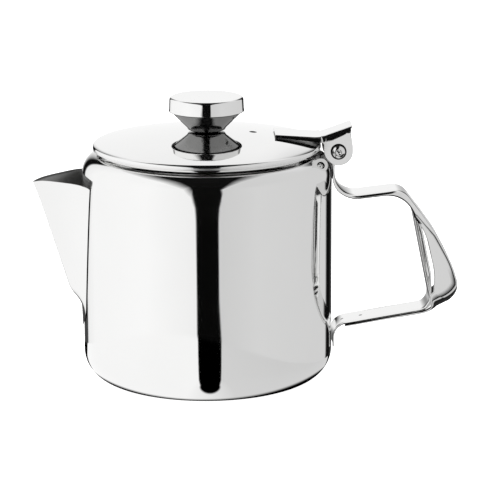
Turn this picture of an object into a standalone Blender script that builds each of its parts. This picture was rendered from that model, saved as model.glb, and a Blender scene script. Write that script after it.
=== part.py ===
"""Small stainless steel teapot with a hinged lid, built from its separate pressings.

Frame: metres, +Z up, origin at the centre of the foot, +X towards the handle, -X towards the spout.
Driving dimensions are in millimetres and are scaled by MM where a mesh is made.
"""
import math

import bmesh
import bpy
from mathutils import Vector

MM = 0.001
GAP = 0.3                     # clearance between pieces that touch on the real object

# Vessel
BODY_R = 47.5
BODY_WALL = 0.7
FOOT_R = 9.4                  # radius of the rounded foot
SHOULDER_R = 8.5
SHOULDER_Z = 79.5             # height at which the wall starts to turn in
NECK_R = 41.3
NECK_TOP = 90.0
BEAD_R = 0.8

# Strainer behind the spout
STRAINER_HOLE_R = 1.2
STRAINER_ROWS = 5
STRAINER_PITCH = 6.5          # row height
STRAINER_LOW_Z = 38.0
STRAINER_STEP_DEG = 6.0       # angle between two holes of a row

# Lid
LID_R = 43.3
LID_EDGE_Z = 90.7             # height of the dome at its edge
LID_RISE = 4.7                # height of the dome above its edge
LID_SPAN = 43.0
LID_SHEET = 0.7
LID_SKIRT_Z = 89.0
LID_ROLL_R = 1.0              # rounding between the dome and the skirt
SCREW_HOLE_R = 2.3
VENT_R = 1.4
VENT_X = 17.6

# Knob
KNOB_TOP = 108.5
KNOB_R = 14.1
KNOB_EDGE_R = 1.1             # rounding of the cap's top edge
KNOB_ROLL_R = 0.5
KNOB_SIDE_Z = 103.0           # height of the cap's rolled lower edge
KNOB_NECK_R = 6.3
KNOB_FOOT_R = 7.5             # the cone's straight side starts at this radius and height
KNOB_FOOT_Z = 96.9
KNOB_FLOOR_Z = 95.7
KNOB_SHEET = 0.7
SCREW_R = 1.9
SCREW_HEAD_R = 3.4
SCREW_TOP_Z = 101.5
NUT_R = 4.0                   # across corners / 2
NUT_HEIGHT = 3.2

# Hinge
PIN_X = 49.6
PIN_Z = 88.1
PIN_R = 2.15
PIN_BORE_R = 2.45
PIN_HEAD_R = 3.0
PIN_HEAD_H = 1.3
PIN_CROWN_R = 1.2             # flat middle of a rivet head
KNUCKLE_START_DEG = -60.0     # where the strap's curl round the pin begins, from +X
LEAF_HALF_WIDTH = 7.4
LEAF_SHEET = 0.8
LEAF_BEND = 2.2
KNUCKLE_HALF_WIDTH = 6.1

# Handle straps
STRAP_HALF_WIDTH = 8.0
STRAP_SHEET = 0.6
STRAP_EDGE_R = 1.2
STRAP_FLAT_DEPTH = 0.75       # depth of a strap where its edges hardly turn
INNER_HALF_WIDTH = 7.1
INNER_GRIP_RISE = 1.5         # how much deeper the inner strap is along the grip
INNER_GRIP_LOW = (31.0, 39.0) # heights over which it gets deeper
INNER_GRIP_HIGH = (66.0, 56.0)
WIDENING = (84.0, 79.0)       # heights over which the outer strap widens below the knuckle
HUG = (56.0, 50.0)            # distances from the axis over which a strap takes the wall's curve

# Spout
SPOUT_SHEET = 0.7
SPOUT_RIM_RISE = 1.6
SPOUT_NOSE_CUT = 2.5          # how far back the rounding of the nose starts
SPOUT_NOSE_OUT = 1.2

# Fineness
ROUND_STEPS = 48
SMALL_STEPS = 28
ARC_STEPS = 3                 # steps in each rounded corner of an outline
BEND_STEPS = 2                # steps round the edge bend of a channel

# Outlines in the XZ plane: (x, z, setback), where an arc cuts each corner `setback` before it and after it.
# The outer strap's face and the free edge of its flanges are cut into runs that pair up one to one.
OUTER_FACE = [
    [(48.6, 80.0, 0.0), (48.6, 70.2, 8.9), (74.3, 73.1, 4.0), (81.4, 63.6, 0.0)],
    [(81.4, 63.6, 0.0), (87.0, 55.6, 3.0), (93.3, 43.7, 4.0), (96.8, 32.2, 6.0), (91.7, 28.8, 0.0)],
    [(91.7, 28.8, 0.0), (83.2, 24.7, 3.0), (80.0, 24.2, 0.0)],
    [(80.0, 24.2, 0.0), (66.0, 22.0, 2.0), (52.6, 19.7, 0.0)],
]
OUTER_FREE_EDGE = [
    [(47.85, 80.0, 0.0), (47.85, 68.63, 10.0), (76.6, 71.86, 9.5), (78.55, 62.3, 0.0)],
    [(78.55, 62.3, 0.0), (82.8, 56.3, 4.0), (86.5, 40.5, 4.0), (86.1, 33.0, 0.0)],
    [(86.1, 33.0, 0.0), (84.85, 31.9, 0.4), (85.7, 26.7, 5.0), (80.2, 25.8, 0.0)],
    [(80.2, 25.8, 0.0), (66.0, 23.5, 2.0), (52.6, 21.2, 0.0)],
]
KNUCKLE_LEAD = [(47.15, 86.3), (47.15, 84.6), (47.9, 83.4), (48.6, 82.2)]
INNER_FACE = [
    (55.6, 69.5, 0.0),
    (76.6, 71.86, 9.5),
    (79.5, 57.6, 1.0),
    (83.5, 37.6, 3.0),
    (85.7, 26.7, 5.0),
    (48.0, 20.5, 5.2),
    (48.0, 11.6, 0.0),
]
LEAF_TOP = [
    (25.8, 94.8, 0.0),
    (42.9, 93.6, 2.5),
    (45.9, 94.65, 0.6),
    (53.3, 97.25, 0.5),
    (54.1, 97.5, 0.2),
    (54.9, 97.8, 0.0),
]
LEAF_LOWER_EDGE = [
    (25.8, 93.9, 0.0),
    (44.1, 91.0, 0.8),
    (44.1, 82.6, 5.4),
    (55.2, 82.6, 5.4),
    (55.2, 91.2, 2.6),
    (53.9, 94.9, 0.0),
]
SPOUT_NOSE = [
    (-48.1, 20.3, 0.0),
    (-48.4, 30.2, 2.2),
    (-53.0, 34.6, 2.0),
    (-63.7, 69.5, 4.0),
    (-66.1, 75.8, 0.0),
]
SPOUT_SEAM = [                # (half width, z, setback) of the weld line on the wall
    (2.5, 20.3, 0.0),
    (9.0, 24.8, 1.0),
    (10.6, 28.0, 1.0),
    (16.3, 68.0, 4.0),
    (17.8, 76.8, 0.0),
]


def clear_scene():
    for obj in list(bpy.data.objects):
        bpy.data.objects.remove(obj, do_unlink=True)


def steel(name, shade, roughness):
    """Polished stainless steel of one shade of grey."""
    material = bpy.data.materials.new(name)
    material.use_nodes = True
    shader = material.node_tree.nodes["Principled BSDF"]
    shader.inputs["Base Color"].default_value = (shade, shade, shade * 0.99, 1.0)
    shader.inputs["Metallic"].default_value = 1.0
    shader.inputs["Roughness"].default_value = roughness
    return material


def ramp(value, start, end):
    """0 at `start`, 1 at `end`, straight between them."""
    return min(max((value - start) / (end - start), 0.0), 1.0)


def corner_arc(before, corner, after, setback, steps):
    """Points of the arc that rounds a corner; setback is the length cut from each side."""
    a = corner + (before - corner).normalized() * setback
    b = corner + (after - corner).normalized() * setback
    half_turn = (corner - a).angle(b - corner) / 2
    weight = math.cos(half_turn)
    points = []
    for i in range(steps + 1):
        t = i / steps
        k0 = (1 - t) ** 2
        k1 = 2 * weight * t * (1 - t)
        k2 = t ** 2
        points.append((a * k0 + corner * k1 + b * k2) / (k0 + k1 + k2))
    return points


def rounded_path(corners, steps=ARC_STEPS):
    """Polyline through the corners, each rounded by an arc with a fixed number of steps."""
    places = [Vector(c[:2]) for c in corners]
    path = [places[0]]
    for before, place, after, corner in zip(places, places[1:], places[2:], corners[1:]):
        path += corner_arc(before, place, after, corner[2], steps)
    path.append(places[-1])
    return path


def path_normals(path):
    """Unit normals on the right-hand side of a path, for x to the right and z up."""
    normals = []
    for i in range(len(path)):
        ahead = path[min(i + 1, len(path) - 1)]
        behind = path[max(i - 1, 0)]
        along = (ahead - behind).normalized()
        normals.append(Vector((along.y, -along.x)))
    return normals


def offset_path(path, distance):
    return [p + n * distance for p, n in zip(path, path_normals(path))]


def at_fraction(path, fraction):
    """Point at a fraction of a path's length."""
    lengths = [(b - a).length for a, b in zip(path, path[1:])]
    left = fraction * sum(lengths)
    for a, b, length in zip(path, path[1:], lengths):
        if left <= length:
            return a.lerp(b, left / length)
        left -= length
    return path[-1].copy()


def paired_paths(face_runs, edge_runs):
    """A face and its free edge as two lists of points that pair up, run by run."""
    face = []
    edge = []
    for face_run, edge_run in zip(face_runs, edge_runs):
        path = rounded_path(face_run)
        partner = rounded_path(edge_run)
        total = sum((b - a).length for a, b in zip(path, path[1:]))
        walked = 0.0
        for i, point in enumerate(path):
            if i:
                walked += (point - path[i - 1]).length
            if i or not face:
                face.append(point)
                edge.append(at_fraction(partner, min(walked / total, 1.0)))
    return face, edge


def finish_object(name, bm, shade, roughness, sharp_deg=35):
    """Turn a bmesh in millimetres into a smooth-shaded object with its own steel."""
    bmesh.ops.recalc_face_normals(bm, faces=bm.faces)
    bmesh.ops.scale(bm, vec=(MM, MM, MM), verts=bm.verts)
    mesh = bpy.data.meshes.new(name)
    bm.to_mesh(mesh)
    bm.free()
    mesh.shade_smooth()
    mesh.set_sharp_from_angle(angle=math.radians(sharp_deg))
    mesh.materials.append(steel(name + "_steel", shade, roughness))
    obj = bpy.data.objects.new(name, mesh)
    bpy.context.scene.collection.objects.link(obj)
    return obj


def lathe(profile, steps, closed):
    """Turn a profile of (radius, z) about Z. A profile that isn't closed starts and ends on the axis."""
    bm = bmesh.new()
    verts = [bm.verts.new((r, 0.0, z)) for r, z in profile]
    edges = [bm.edges.new(pair) for pair in zip(verts, verts[1:])]
    if closed:
        edges.append(bm.edges.new((verts[-1], verts[0])))
    bmesh.ops.spin(
        bm, geom=verts + edges, cent=(0, 0, 0), axis=(0, 0, 1), angle=math.tau, steps=steps, use_merge=True
    )
    bmesh.ops.remove_doubles(bm, verts=bm.verts, dist=0.001)
    return bm


def shell(outer, inner):
    """Closed sheet between two matching grids of points, with its four edges filled."""
    bm = bmesh.new()
    rows = len(outer)
    columns = len(outer[0])
    grids = [[[bm.verts.new(p) for p in row] for row in grid] for grid in (outer, inner)]

    def fill(a, b, c, d):
        bm.faces.new((a, b, c, d))

    for grid in grids:
        for row, next_row in zip(grid, grid[1:]):
            for i in range(columns - 1):
                fill(row[i], row[i + 1], next_row[i + 1], next_row[i])
    top, bottom = grids
    for j in (0, rows - 1):
        for i in range(columns - 1):
            fill(top[j][i], top[j][i + 1], bottom[j][i + 1], bottom[j][i])
    for i in (0, columns - 1):
        for j in range(rows - 1):
            fill(top[j][i], top[j + 1][i], bottom[j + 1][i], bottom[j][i])
    return bm


def channel_section(half_width, depth, sheet, bend, web_depth):
    """Outer and inner outlines (y, depth) of a channel with rounded edges."""
    bend = min(bend, 0.6 * depth)
    inner_bend = max(bend - sheet, 0.05)
    inner_centre = half_width - sheet - inner_bend
    outer = [(-half_width, depth)]
    inner = [(-half_width + sheet, depth)]
    for i in range(BEND_STEPS + 1):
        turn = math.pi / 2 * i / BEND_STEPS
        across = math.cos(turn)
        down = 1 - math.sin(turn)
        outer.append((-half_width + bend - bend * across, bend * down))
        inner.append((-inner_centre - inner_bend * across, web_depth + inner_bend * down))
    outer += [(-half_width / 2, 0.0), (0.0, 0.0)]
    inner += [(-half_width / 2, web_depth), (0.0, web_depth)]
    outer += [(-y, q) for y, q in reversed(outer[:-1])]
    inner += [(-y, q) for y, q in reversed(inner[:-1])]
    return outer, inner


def hug(x, y):
    """How far a strap bends back to lie against the round wall."""
    return ramp(x, *HUG) * (BODY_R - math.sqrt(BODY_R ** 2 - y ** 2))


def channel(face, free_edge, half_widths, sheet, bend, hugging=False):
    """Channel pressed from sheet: its web follows `face`, its side flanges end on `free_edge`."""
    outer_grid = []
    inner_grid = []
    for place, edge, normal, half_width in zip(face, free_edge, path_normals(face), half_widths):
        depth = (edge - place).length
        down = (edge - place) / depth
        web_depth = sheet / max(abs(down.dot(normal)), 0.5)
        outlines = channel_section(half_width, depth, sheet, bend, web_depth)
        for grid, outline in zip((outer_grid, inner_grid), outlines):
            row = []
            for y, q in outline:
                spot = place + down * q
                shift = hug(spot.x, y) if hugging else 0.0
                row.append((spot.x - shift, y, spot.y))
            grid.append(row)
    return shell(outer_grid, inner_grid)


def cut(obj, cutter):
    """Subtract a cutter, which stays in the file as a hidden wire guide."""
    cutter.hide_render = True
    cutter.display_type = "WIRE"
    modifier = obj.modifiers.new("cut_" + cutter.name, "BOOLEAN")
    modifier.operation = "DIFFERENCE"
    modifier.solver = "EXACT"
    modifier.object = cutter


def cylinder_cutter(name, radius, length, centre, axis, steps=16):
    bm = bmesh.new()
    bmesh.ops.create_cone(
        bm, cap_ends=True, segments=steps, radius1=radius * MM, radius2=radius * MM, depth=length * MM
    )
    mesh = bpy.data.meshes.new(name)
    bm.to_mesh(mesh)
    bm.free()
    obj = bpy.data.objects.new(name, mesh)
    bpy.context.scene.collection.objects.link(obj)
    obj.location = Vector(centre) * MM
    obj.rotation_euler = Vector(axis).to_track_quat("Z", "Y").to_euler()
    return obj


def arc_points(centre, radius, start_deg, end_deg, steps):
    """Points of an arc in a profile, angles measured from the +r direction."""
    points = []
    for i in range(steps + 1):
        turn = math.radians(start_deg + (end_deg - start_deg) * i / steps)
        points.append((centre[0] + radius * math.cos(turn), centre[1] + radius * math.sin(turn)))
    return points


def make_pot_body():
    shoulder_r = BODY_R - SHOULDER_R
    inner_shoulder = SHOULDER_R - BODY_WALL
    neck_turn = math.degrees(math.acos((NECK_R + 0.6 - shoulder_r) / SHOULDER_R))
    inner_turn = math.degrees(math.acos((NECK_R - BODY_WALL + 0.6 - shoulder_r) / inner_shoulder))
    bead = (NECK_R - BEAD_R / 2, NECK_TOP - BEAD_R)
    rim = arc_points(bead, BEAD_R, -30, 200, 6)
    inside = [(NECK_R - BODY_WALL, bead[1] - 1.2)]
    inside += arc_points((shoulder_r, SHOULDER_Z), inner_shoulder, inner_turn, 0, ARC_STEPS)
    inside += arc_points((BODY_R - FOOT_R, FOOT_R), FOOT_R - BODY_WALL, 0, -90, ARC_STEPS + 1)
    inside.append((0.0, BODY_WALL))
    outside = [(0.0, 0.0)]
    outside += arc_points((BODY_R - FOOT_R, FOOT_R), FOOT_R, -90, 0, ARC_STEPS + 2)
    outside += arc_points((shoulder_r, SHOULDER_Z), SHOULDER_R, 0, neck_turn, ARC_STEPS + 1)
    outside.append((NECK_R, bead[1] - 1.2))
    profile = outside + rim + inside
    body = finish_object("pot_body", lathe(profile, ROUND_STEPS, closed=False), 0.80, 0.05)
    for row in range(STRAINER_ROWS):
        count = 3 + row % 2
        for i in range(count):
            turn = math.radians(180 + (i - (count - 1) / 2) * STRAINER_STEP_DEG)
            outward = (math.cos(turn), math.sin(turn), 0.0)
            z = STRAINER_LOW_Z + row * STRAINER_PITCH
            centre = (BODY_R * outward[0], BODY_R * outward[1], z)
            hole = cylinder_cutter(f"strainer_hole_{row}_{i}", STRAINER_HOLE_R, 6.0, centre, outward, 10)
            cut(body, hole)
    return body


def dome_z(radius):
    return LID_EDGE_Z + LID_RISE * (1 - (radius / LID_SPAN) ** 2)


def make_lid():
    rings = 5
    radii = [SCREW_HOLE_R + (LID_R - 1.6 - SCREW_HOLE_R) * i / rings for i in range(rings + 1)]
    profile = [(r, dome_z(r)) for r in radii]
    edge_z = dome_z(radii[-1])
    profile += arc_points((LID_R - LID_ROLL_R, edge_z - 1.15), LID_ROLL_R, 60, 0, 3)
    profile += [(LID_R, LID_SKIRT_Z + 0.2), (LID_R - 0.2, LID_SKIRT_Z), (LID_R - LID_SHEET, LID_SKIRT_Z)]
    profile += [(LID_R - LID_SHEET, edge_z - 1.2), (LID_R - 1.2, edge_z - 0.8)]
    profile += [(r, dome_z(r) - LID_SHEET) for r in reversed(radii)]
    lid = finish_object("lid", lathe(profile, ROUND_STEPS, closed=True), 0.82, 0.05)
    vent = cylinder_cutter("vent_hole", VENT_R, 8.0, (VENT_X, 0.0, dome_z(VENT_X)), (0, 0, 1))
    cut(lid, vent)
    return lid


def make_knob_cap():
    inside_r = KNOB_R - KNOB_SHEET
    profile = [(0.0, KNOB_TOP)]
    roof_z = KNOB_TOP - KNOB_SHEET
    profile += arc_points((KNOB_R - KNOB_EDGE_R, KNOB_TOP - KNOB_EDGE_R), KNOB_EDGE_R, 90, 0, ARC_STEPS)
    profile += [(KNOB_R + 0.1, KNOB_SIDE_Z + 0.9)]
    profile += arc_points((KNOB_R - 0.2, KNOB_SIDE_Z + 0.4), KNOB_ROLL_R, 0, -120, 3)
    profile += [(inside_r, KNOB_SIDE_Z + 0.5), (inside_r, roof_z - 0.6), (inside_r - 0.6, roof_z)]
    profile += [(0.0, roof_z)]
    return finish_object("knob_cap", lathe(profile, SMALL_STEPS, closed=False), 0.82, 0.05)


def make_knob_cone():
    floor_top = KNOB_FLOOR_Z + KNOB_SHEET
    lip_r = KNOB_R - KNOB_SHEET - GAP
    lip_z = KNOB_SIDE_Z + 0.3
    profile = [(SCREW_HOLE_R, floor_top), (SCREW_HOLE_R, KNOB_FLOOR_Z), (KNOB_NECK_R, KNOB_FLOOR_Z)]
    profile += [(KNOB_FOOT_R - 0.4, KNOB_FLOOR_Z + 0.4), (KNOB_FOOT_R, KNOB_FOOT_Z)]
    profile += [(lip_r - 0.1, lip_z - 0.9), (lip_r, lip_z), (lip_r, lip_z + KNOB_SHEET)]
    profile += [(lip_r - 1.0, lip_z + KNOB_SHEET), (KNOB_NECK_R, floor_top)]
    return finish_object("knob_cone", lathe(profile, SMALL_STEPS, closed=True), 0.78, 0.06)


def make_knob_screw():
    head_top = dome_z(SCREW_HEAD_R) - LID_SHEET - GAP
    profile = [(0.0, head_top - 2.0), (1.8, head_top - 1.9), (3.0, head_top - 1.3)]
    profile += [(SCREW_HEAD_R, head_top - 0.5), (SCREW_HEAD_R, head_top)]
    profile += [(SCREW_R, head_top), (SCREW_R, SCREW_TOP_Z - 0.5)]
    profile += [(SCREW_R - 0.5, SCREW_TOP_Z), (0.0, SCREW_TOP_Z)]
    return finish_object("knob_screw", lathe(profile, 20, closed=False), 0.70, 0.20)


def make_knob_nut():
    low = KNOB_FLOOR_Z + KNOB_SHEET + GAP
    high = low + NUT_HEIGHT
    profile = [(SCREW_HOLE_R, low), (NUT_R, low), (NUT_R, high), (SCREW_HOLE_R, high)]
    return finish_object("knob_nut", lathe(profile, 6, closed=True), 0.65, 0.25)


def make_handle_outer_strap():
    """Grip strap: from its curl round the hinge pin down the wall, out, down the grip, back under the arm."""
    pin = Vector((PIN_X, PIN_Z))
    face = [Vector(p) for p in arc_points(pin, PIN_BORE_R, KNUCKLE_START_DEG, 180, 10)]
    free_edge = [p + (p - pin).normalized() * STRAP_FLAT_DEPTH for p in face]
    for x, z in KNUCKLE_LEAD:
        face.append(Vector((x, z)))
        free_edge.append(Vector((x - STRAP_FLAT_DEPTH, z)))
    strap_face, strap_edge = paired_paths(OUTER_FACE, OUTER_FREE_EDGE)
    face += strap_face
    free_edge += strap_edge
    more = STRAP_HALF_WIDTH - KNUCKLE_HALF_WIDTH
    half_widths = [KNUCKLE_HALF_WIDTH + more * ramp(place.y, *WIDENING) for place in face]
    bm = channel(face, free_edge, half_widths, STRAP_SHEET, STRAP_EDGE_R, hugging=True)
    return finish_object("handle_outer_strap", bm, 0.80, 0.06)


def make_handle_inner_strap():
    """Arm strap, from under the upper arm down inside the grip, along the lower arm and down the wall."""
    face = rounded_path(INNER_FACE)
    free_edge = []
    for place, normal in zip(face, path_normals(face)):
        in_grip = ramp(place.y, *INNER_GRIP_LOW) * ramp(place.y, *INNER_GRIP_HIGH)
        free_edge.append(place - normal * (STRAP_FLAT_DEPTH + INNER_GRIP_RISE * in_grip))
    half_widths = [INNER_HALF_WIDTH] * len(face)
    bm = channel(face, free_edge, half_widths, STRAP_SHEET, STRAP_EDGE_R, hugging=True)
    return finish_object("handle_inner_strap", bm, 0.80, 0.06)


def make_lid_hinge_leaf():
    face = rounded_path(LEAF_TOP, 6)
    free_edge = rounded_path(LEAF_LOWER_EDGE, 6)
    half_widths = [LEAF_HALF_WIDTH] * len(face)
    bm = channel(face, free_edge, half_widths, LEAF_SHEET, LEAF_BEND)
    leaf = finish_object("lid_hinge_leaf", bm, 0.80, 0.06)
    bore = cylinder_cutter("ear_bore", PIN_BORE_R, 30.0, (PIN_X, 0.0, PIN_Z), (0, 1, 0), 20)
    cut(leaf, bore)
    return leaf


def make_hinge_pin():
    head_y = LEAF_HALF_WIDTH + GAP
    half = [(PIN_R, head_y), (PIN_HEAD_R, head_y)]
    half += [(PIN_HEAD_R, head_y + 0.3), (PIN_HEAD_R - 0.6, head_y + 0.95)]
    half += [(PIN_CROWN_R, head_y + PIN_HEAD_H), (0.0, head_y + PIN_HEAD_H)]
    profile = [(r, -z) for r, z in reversed(half)] + half
    pin = finish_object("hinge_pin", lathe(profile, 20, closed=False), 0.75, 0.08)
    pin.rotation_euler = (math.pi / 2, 0.0, 0.0)
    pin.location = (PIN_X * MM, 0.0, PIN_Z * MM)
    return pin


def spout_rows(rows, inward):
    """Rows of points up the spout, from one weld seam round the nose to the other."""
    nose = rounded_path(SPOUT_NOSE)
    seam = rounded_path(SPOUT_SEAM)
    grid = []
    for j in range(rows + 1):
        share = j / rows
        tip = at_fraction(nose, share)
        root = at_fraction(seam, share)
        root_x = -math.sqrt((BODY_R + GAP) ** 2 - root.x ** 2)
        apex = Vector((tip.x - SPOUT_NOSE_OUT * share, 0.0))
        seat = Vector((root_x, root.x))
        side = apex - seat
        flare = seat + side * 0.14 + Vector((-side.y, side.x)).normalized() * -0.7 * share
        setback = min(SPOUT_NOSE_CUT, side.length * 0.4)
        corners = [
            (seat.x, seat.y, 0.0),
            (flare.x, flare.y, side.length * 0.12),
            (apex.x, apex.y, setback),
            (flare.x, -flare.y, side.length * 0.12),
            (seat.x, -seat.y, 0.0),
        ]
        plan = rounded_path(corners)
        row = []
        for point, moved in zip(plan, offset_path(plan, inward)):
            along = min(max((point.x - apex.x) / (seat.x - apex.x), 0.0), 1.0)
            z = tip.y + (root.y - tip.y) * along
            z += SPOUT_RIM_RISE * share ** 6 * (1 - (2 * along - 1) ** 4)
            push = max((BODY_R + GAP) / moved.length, 1.0)
            row.append((moved.x * push, moved.y * push, z))
        grid.append(row)
    return grid


def make_spout():
    rows = 14
    bm = shell(spout_rows(rows, 0.0), spout_rows(rows, -SPOUT_SHEET))
    return finish_object("spout", bm, 0.80, 0.05)


def main():
    clear_scene()
    make_pot_body()
    make_spout()
    make_handle_outer_strap()
    make_handle_inner_strap()
    pivot = bpy.data.objects.new("lid_pivot", None)
    pivot.location = (PIN_X * MM, 0.0, PIN_Z * MM)
    bpy.context.scene.collection.objects.link(pivot)
    lid_pieces = [
        make_lid(),
        make_knob_cap(),
        make_knob_cone(),
        make_knob_screw(),
        make_knob_nut(),
        make_lid_hinge_leaf(),
        make_hinge_pin(),
    ]
    for piece in lid_pieces:
        piece.parent = pivot
        piece.matrix_parent_inverse.translation = -pivot.location


main()
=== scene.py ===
"""Looks of the small stainless steel teapot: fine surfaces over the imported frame, steel finishes, studio.

Lengths are in millimetres while a mesh is made and are scaled by MM at the end of it.
"""
import math

import bmesh
import bpy
from mathutils import Matrix, Vector

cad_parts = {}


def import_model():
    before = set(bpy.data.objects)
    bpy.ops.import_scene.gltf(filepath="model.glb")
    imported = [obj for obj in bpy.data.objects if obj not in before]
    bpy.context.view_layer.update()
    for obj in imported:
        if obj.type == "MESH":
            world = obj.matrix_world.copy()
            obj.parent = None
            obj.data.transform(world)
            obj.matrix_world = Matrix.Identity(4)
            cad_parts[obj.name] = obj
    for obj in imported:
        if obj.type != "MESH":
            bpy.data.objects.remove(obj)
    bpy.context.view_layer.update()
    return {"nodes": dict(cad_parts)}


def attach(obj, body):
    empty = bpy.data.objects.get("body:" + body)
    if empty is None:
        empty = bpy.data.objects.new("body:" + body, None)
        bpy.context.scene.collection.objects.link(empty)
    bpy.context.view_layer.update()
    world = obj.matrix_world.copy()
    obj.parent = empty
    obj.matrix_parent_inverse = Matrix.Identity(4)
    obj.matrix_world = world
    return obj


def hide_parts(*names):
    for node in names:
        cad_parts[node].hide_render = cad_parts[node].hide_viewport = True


MM = 0.001
GAP = 0.3                     # between pieces that touch

# Vessel
BODY_R = 47.5
BODY_WALL = 0.7
FOOT_R = 10.8
SHOULDER_R = 8.5
SHOULDER_Z = 79.5
NECK_R = 41.3
NECK_FILLET = 0.6             # the shoulder's arc ends this far outside the neck
NECK_TOP = 90.0
BEAD_R = 0.8
STRAINER_HOLE_R = 1.2
STRAINER_ROWS = 5
STRAINER_PITCH = 6.5
STRAINER_LOW_Z = 38.0
STRAINER_STEP_DEG = 6.0

# Lid and knob
LID_R = 43.3
LID_EDGE_Z = 90.7
LID_RISE = 4.7
LID_SPAN = 43.0               # radius at which the dome has come down to LID_EDGE_Z
LID_SHEET = 0.7
LID_EDGE_R = 1.0              # of the turn from the dome into the skirt
LID_SKIRT_Z = 89.0
SKIRT_RAW_Z = 89.9            # the skirt is unpolished below this
SCREW_HOLE_R = 2.3
VENT_R = 1.4
VENT_X = 17.6
VENT_SHADOW = 0.1             # how far the dark ring reaches round the vent
KNOB_TOP = 108.5
KNOB_R = 14.1
KNOB_EDGE_R = 1.1
KNOB_ROLL_R = 0.5             # of the cap's lower edge
KNOB_SIDE_Z = 103.0           # where the cap's side ends
KNOB_NECK_R = 6.3
KNOB_FOOT_R = 7.5             # the cone's straight side starts at this radius and height
KNOB_FOOT_Z = 96.9
KNOB_FLOOR_Z = 95.7
KNOB_SHEET = 0.7
SCREW_R = 1.9
SCREW_HEAD_R = 3.4
SCREW_SLOT_R = 0.5
SCREW_END_Z = 101.5

# Hinge
PIN_X = 49.6
PIN_Z = 88.1
PIN_R = 2.15
PIN_BORE_R = 2.45
PIN_HEAD_R = 3.0
RIVET_RING_R = 2.45           # the rivet's head is painted black as shade from this radius out
RIVET_DIMPLE_R = 0.3
RIVET_CROWN = [
    (3.0, 0.1),
    (2.9, 0.25),
    (2.6, 0.25),
    (2.5, 0.55),
    (2.25, 0.85),
    (1.9, 1.08),
    (1.5, 1.22),
    (1.1, 1.3),
    (0.8, 1.22),
    (0.5, 1.02),
    (0.25, 0.92),
    (0.0, 0.9),
]
LEAF_HALF_WIDTH = 7.4
LEAF_SHEET = 0.8
LEAF_BEND = 2.2
LEAF_CURL = 0.15
KNUCKLE_HALF_WIDTH = 6.1
KNUCKLE_START_DEG = -60.0     # where the strap's curl round the pin begins, from +X
LEAF_TONGUE_X = 43.0          # the tongue's side flanges are painted black as shade up to here
SIDE_MARGIN = 0.05            # the leaf's flanges lie within this of its half width
TONGUE_BEND = 0.25            # radius of the tongue's edge as a share of its depth

# Handle straps
STRAP_HALF_WIDTH = 8.0
STRAP_SHEET = 0.6
STRAP_EDGE_R = 0.25           # bend between the web and the flanges
STRAP_BELLY_R = 3.4           # that bend on the upper arm's top and under the grip
STRAP_CURL_R = 0.4            # turn of the free edges
STRAP_UNDER_R = 2.6           # that turn on the lower arm
CREASE_DEPTH = 0.25           # of the line pressed beside the grip's outer edge
CREASE_STEPS = [              # (height over it, share of its depth, painted shade, painted shade in the corner)
    (2.3, 0.0, 0.0, 0.0),
    (1.2, 0.0, 0.0, 0.4),
    (0.45, 0.0, 0.3, 0.8),
    (0.35, 1.0, 1.0, 1.0),
    (0.1, 1.0, 1.0, 1.0),
    (0.0, 0.0, 0.3, 0.3),
]
CREASE_LIFT = 0.55            # distance from the bend to the crease
CREASE_FROM = (2.6, 3.6)      # strap depths over which the crease starts
GRIP_CORNER = (42.0, 37.0)    # heights over which the crease's shadow grows
EDGE_LINE = 0.45              # width of the painted shade line along the free edge of the upper arm
EDGE_LINE_DEPTHS = (7.5, 5.5)     # strap depths over which that line starts
FAR_EDGE_TRIM = 2.1           # how much shallower the far flange is along the grip
TRIM_LOW = (24.5, 27.5)       # heights over which that trim starts and ends
TRIM_HIGH = (62.0, 56.0)
GRIP_DEPTHS = (4.5, 2.5)      # strap depths between the grip and the arms
UPPER_ARM_Z = 60.0            # the painted shade line along the free edge is drawn above this
FOLD_SHARE = 0.75             # most of a flange's depth that one of its folds may take
BOTH_FOLDS_SHARE = 0.95
CREASE_SHRINK = 0.3           # flanges shallower than 1 / CREASE_SHRINK have a smaller crease
FLANGE_STEPS = (0.0, 0.1, 0.3, 0.65)      # where the plain part of a flange is divided
STRAP_FLAT_DEPTH = 0.75       # depth of a strap where its edges hardly turn
WIDENING = (84.0, 79.0)       # heights over which the outer strap widens below the knuckle
HUG = (56.0, 50.0)            # distances from the axis over which a strap takes the wall's curve
INNER_GRIP_LOW = (31.0, 39.0)     # heights over which the inner strap deepens in the grip
INNER_GRIP_HIGH = (66.0, 56.0)
INNER_HALF_WIDTH = 7.1
INNER_EDGE_R = 1.9
INNER_CURL_R = 0.2
INNER_GRIP_RISE = 1.5         # how much deeper it is there

# Spout
SPOUT_SHEET = 0.7
SPOUT_RIM_RISE = 1.6          # crown of the lip's sides
SPOUT_NOSE_CUT = 2.5          # length that the nose's rounding takes from each side
SPOUT_NOSE_OUT = 1.2          # how far the plan's corner lies beyond the nose's outline at the lip
SPOUT_FLARE_PLACE = 0.14      # where the sides bend outwards, as a share of their length
SPOUT_FLARE_CUT = 0.12        # length of that bend's rounding, as a share
SPOUT_FLARE_OUT = 0.7         # how far the bend lies outwards at the lip
NOSE_LINE = 0.6               # painted shade along the nose's fold
LIP_LINE = 0.8                # painted shade along the lip's edge

# Fineness of the surfaces
TURN_STEPS = 256
SMALL_TURN_STEPS = 96
SCREW_TURN_STEPS = 48
RIVET_TURN_STEPS = 64
WALL_ROWS = 20
FLOOR_RINGS = 13
SPOUT_ROWS = 72
SPOUT_SIDE_STEPS = 14
LID_RINGS = 40
ARC_STEPS = 12
BEND_STEPS = 8
CURL_STEPS = 6
WEB_STEPS = 8
LONGEST_STEP = 1.2            # longest edge along a strap
LEAST_R = 0.03                # inner radius of a fold that is tighter than its sheet
SHARP_DEG = 40                # edges bent more than this stay sharp or get a bevel
BEVEL_STEPS = 3

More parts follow.
